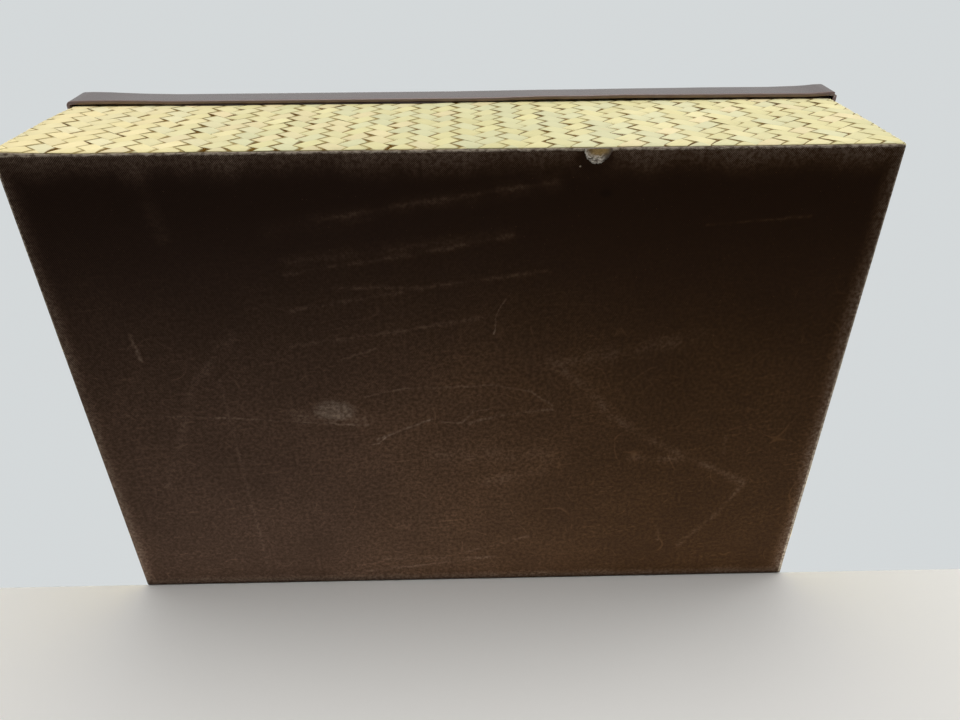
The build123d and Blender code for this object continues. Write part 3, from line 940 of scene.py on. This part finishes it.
leather_grain = leather_group()
bind_low, bind_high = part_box("rim_binding")
bind_width = bind_high.x - bay_half_length
bind_outside = bind_high.z - bind_drop
ring, ways = ring_round((bind_high.x, bind_high.y), [bind_corner] * 4, 5, 5 * mm)
waves = np.random.default_rng(8).uniform(0, 2 * math.pi, 6)
place = np.arctan2(ring[:, 1], ring[:, 0])
ragged = sum(np.sin((5 + 4 * k) * place + waves[k]) for k in range(6)) * 0.12 * mm
profile = [(0, bind_outside + up * mm) for up in (0, 1.5, 4)]
profile += arc(-bind_fold, bind_high.z - bind_fold, bind_fold, 0, 90, 6)
profile += arc(bind_fold - bind_width, bind_high.z - bind_fold, bind_fold, 90, 180, 6)
profile += [(-bind_width, bind_low.z + up * mm) for up in (6, 3, 1, 0)]
rings = skirt(ring, ways, profile, bind_corner)
# Along the front its lower edge was cut by eye: high at the left end, and low in the left half.
bind_places = [-160, -149, -144, -128, -119, -104, -84, -10, 1, 16, 22, 30, 37, 73, 94, 122, 136, 146, 160]
bind_steps = [4.2, 3.6, 1.8, 0.9, -1.4, -2.4, -2.2, -2.4, -1.0, -1.3, -1.0, 0.4, 1.4, 1.7, 0.5, 0.4, 0.0,
              -0.8, -0.8]
in_front = np.clip((-ring[:, 1] - 105 * mm) / (5 * mm), 0, 1)
steps = in_front * np.interp(ring[:, 0] / mm, bind_places, bind_steps) * mm
rings[0, :, 2] += np.abs(ragged) + steps
rings[1, :, 2] += np.clip(steps, 0, None)
rings[2, :, 2] += 0.5 * np.clip(steps, 0, None)
rings[-1, :, 2] += np.abs(ragged)
binding_leather = leather_material("binding_leatherette", (0.04, 0.021, 0.016, 1), (0.1, 0.06, 0.048, 1),
                                   0.4, 1.25, 0.0)
rim_binding = build_mesh("rim_binding_fold", rings.reshape(-1, 3), ring_faces(*rings.shape[:2]),
                         binding_leather, bind_thickness)
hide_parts("rim_binding")
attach(rim_binding, "tray")

# ---- Dividers ----
# Two strips of board covered in cream paper, slotted into each other where they cross. They stand
# loose on the floor, and their paper is folded round the edges.
divider_edge = 0.5 * mm
for node in ("divider_long", "divider_cross"):
    made = add_object(node + "_soft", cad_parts[node].data.copy())
    made.data.materials.clear()
    made.data.materials.append(cream_paper)
    bevel = made.modifiers.new("soft edges", "BEVEL")
    bevel.width = divider_edge
    bevel.segments = 3
    bevel.limit_method = "ANGLE"
    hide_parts(node)
    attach(made, "tray")

# ---- Lid cover ----
# Dark brown leatherette over the lid board and its lip. It is turned in under the lip, and worked
# round the corners by hand, so that the lip is a little bowed and one corner has come open.
lid_low, lid_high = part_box("lid_cover")
lid_cover_thickness = 0.36 * mm
lip_width = 1.5 * mm
lip_fold = 0.35 * mm           # radius of the cover's folds round the lip's lower edge
lid_fold = 0.8 * mm            # and round the lid's upper one
lid_corner = 1.6 * mm          # plan radius of three of its corners, and of the front left one
lid_left_corner = 2.1 * mm
open_corner_top = 6 * mm       # how far up the front right corner has come open, how far back,
open_corner_depth = 2.3 * mm
open_corner_turn = 38          # and from how many degrees of its turn on
bow_reach = 20 * mm            # how far back from the front the lip's bow goes
bow_ends = 12 * mm             # how far in from each end the corners are worked
lip_face = 0.9 * mm            # depth of the front face that is drawn in at its ends
lip_places = [-162, -157.5, -154, -149, -144, -134, -119, 0, 15, 22, 37, 54, 73, 94, 109, 122, 136, 150, 154,
              158, 162]
# How far the lip's front stands out of line at those places, at its lower edge and at the lid's top.
lip_low = [0.1, 0.2, 0.3, 0.35, 0.3, 0.2, -0.2, -0.25, -0.25, -0.1, 0.3, 0.2, 0.45, 0.3, 0.2, 0.2, 0.1, 0.0,
           0.2, 0.5, 0.7]
lip_top = [1.0, 1.2, 1.1, 1.0, 0.7, 0.2, -0.2, -0.25, -0.15, -0.1, 0.0, 0.0, 0.1, 0.15, 0.25, 0.2, 0.15, 0.5,
           0.8, 1.2, 1.1]


def worked(rings, low, high):
    """The lid cover's points moved as the lip is bowed: out at both ends, most at the open corner.

    The move is read from the two lists by x and blended by height, and dies away with the square of
    the way back. The front's ends also draw in along x, by up to 1.4 mm, and most at the top.
    """
    x, y, z = rings[..., 0], rings[..., 1], rings[..., 2]
    share = np.clip((high.z - z) / (high.z - low.z), 0, 1)
    tops, lows = [np.interp(x / mm, lip_places, steps) for steps in (lip_top, lip_low)]
    out = tops * (1 - share) + lows * share
    near = np.clip((-y - (high.y - bow_reach)) / bow_reach, 0, 1) ** 2
    front = np.clip((-y - (high.y - lip_face)) / lip_face, 0, 1)
    left = np.clip((-x - (high.x - bow_ends)) / bow_ends, 0, 1) ** 2
    right = np.clip((x - (high.x - bow_ends)) / bow_ends, 0, 1) ** 2
    moved = rings.copy()
    moved[..., 0] = x - near * left * share * 0.6 * mm + front * (1 - share) * (1.3 * left - 1.4 * right) * mm
    moved[..., 0] -= front * right * share * 0.7 * mm
    moved[..., 1] = y - near * out * mm
    return moved


leatherette = leather_material("leatherette", (0.068, 0.033, 0.025, 1), (0.135, 0.067, 0.049, 1), 0.24, 1.82,
                               lid_low.z + 0.9 * mm)
ring, ways = ring_round((lid_high.x, lid_high.y), [lid_left_corner] + [lid_corner] * 3, 8, 4 * mm)
profile = [(-lip_width, lid_high.z - 3.0 * mm), (-lip_width, lid_low.z + 5 * mm),
           (-lip_width, lid_low.z + 1.2 * mm)]
profile += arc(lip_fold - lip_width, lid_low.z + lip_fold, lip_fold, 180, 270, 4)
profile += arc(-lip_fold, lid_low.z + lip_fold, lip_fold, -90, 0, 4)
profile += [(0, lid_low.z + up * mm) for up in (1.4, 2.5, 4, 6, 8, 10, 11.6)]
profile += arc(-lid_fold, lid_high.z - lid_fold, lid_fold, 0, 90, 5)
profile += [(-out * mm, lid_high.z) for out in (1.1, 1.5)]
rings = skirt(ring, ways, profile, lid_corner)
faces = ring_faces(*rings.shape[:2])
x, y, z = rings.reshape(-1, 3)[faces].mean(1).T
corner_turn = np.arctan2(x - lid_high.x + lid_corner, lid_corner - lid_high.y - y)
split = (corner_turn > math.radians(open_corner_turn)) & (x > lid_high.x - lid_corner)
split &= (y < open_corner_depth - lid_high.y) & (z < lid_low.z + open_corner_top)
lid_top = np.arange(rings.shape[1]) + (len(rings) - 1) * rings.shape[1]
lid_cover = build_mesh("lid_cover_wrap", worked(rings, lid_low, lid_high).reshape(-1, 3),
                       list(faces[~split]) + [lid_top], leatherette, lid_cover_thickness)
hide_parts("lid_cover")
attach(lid_cover, "lid")
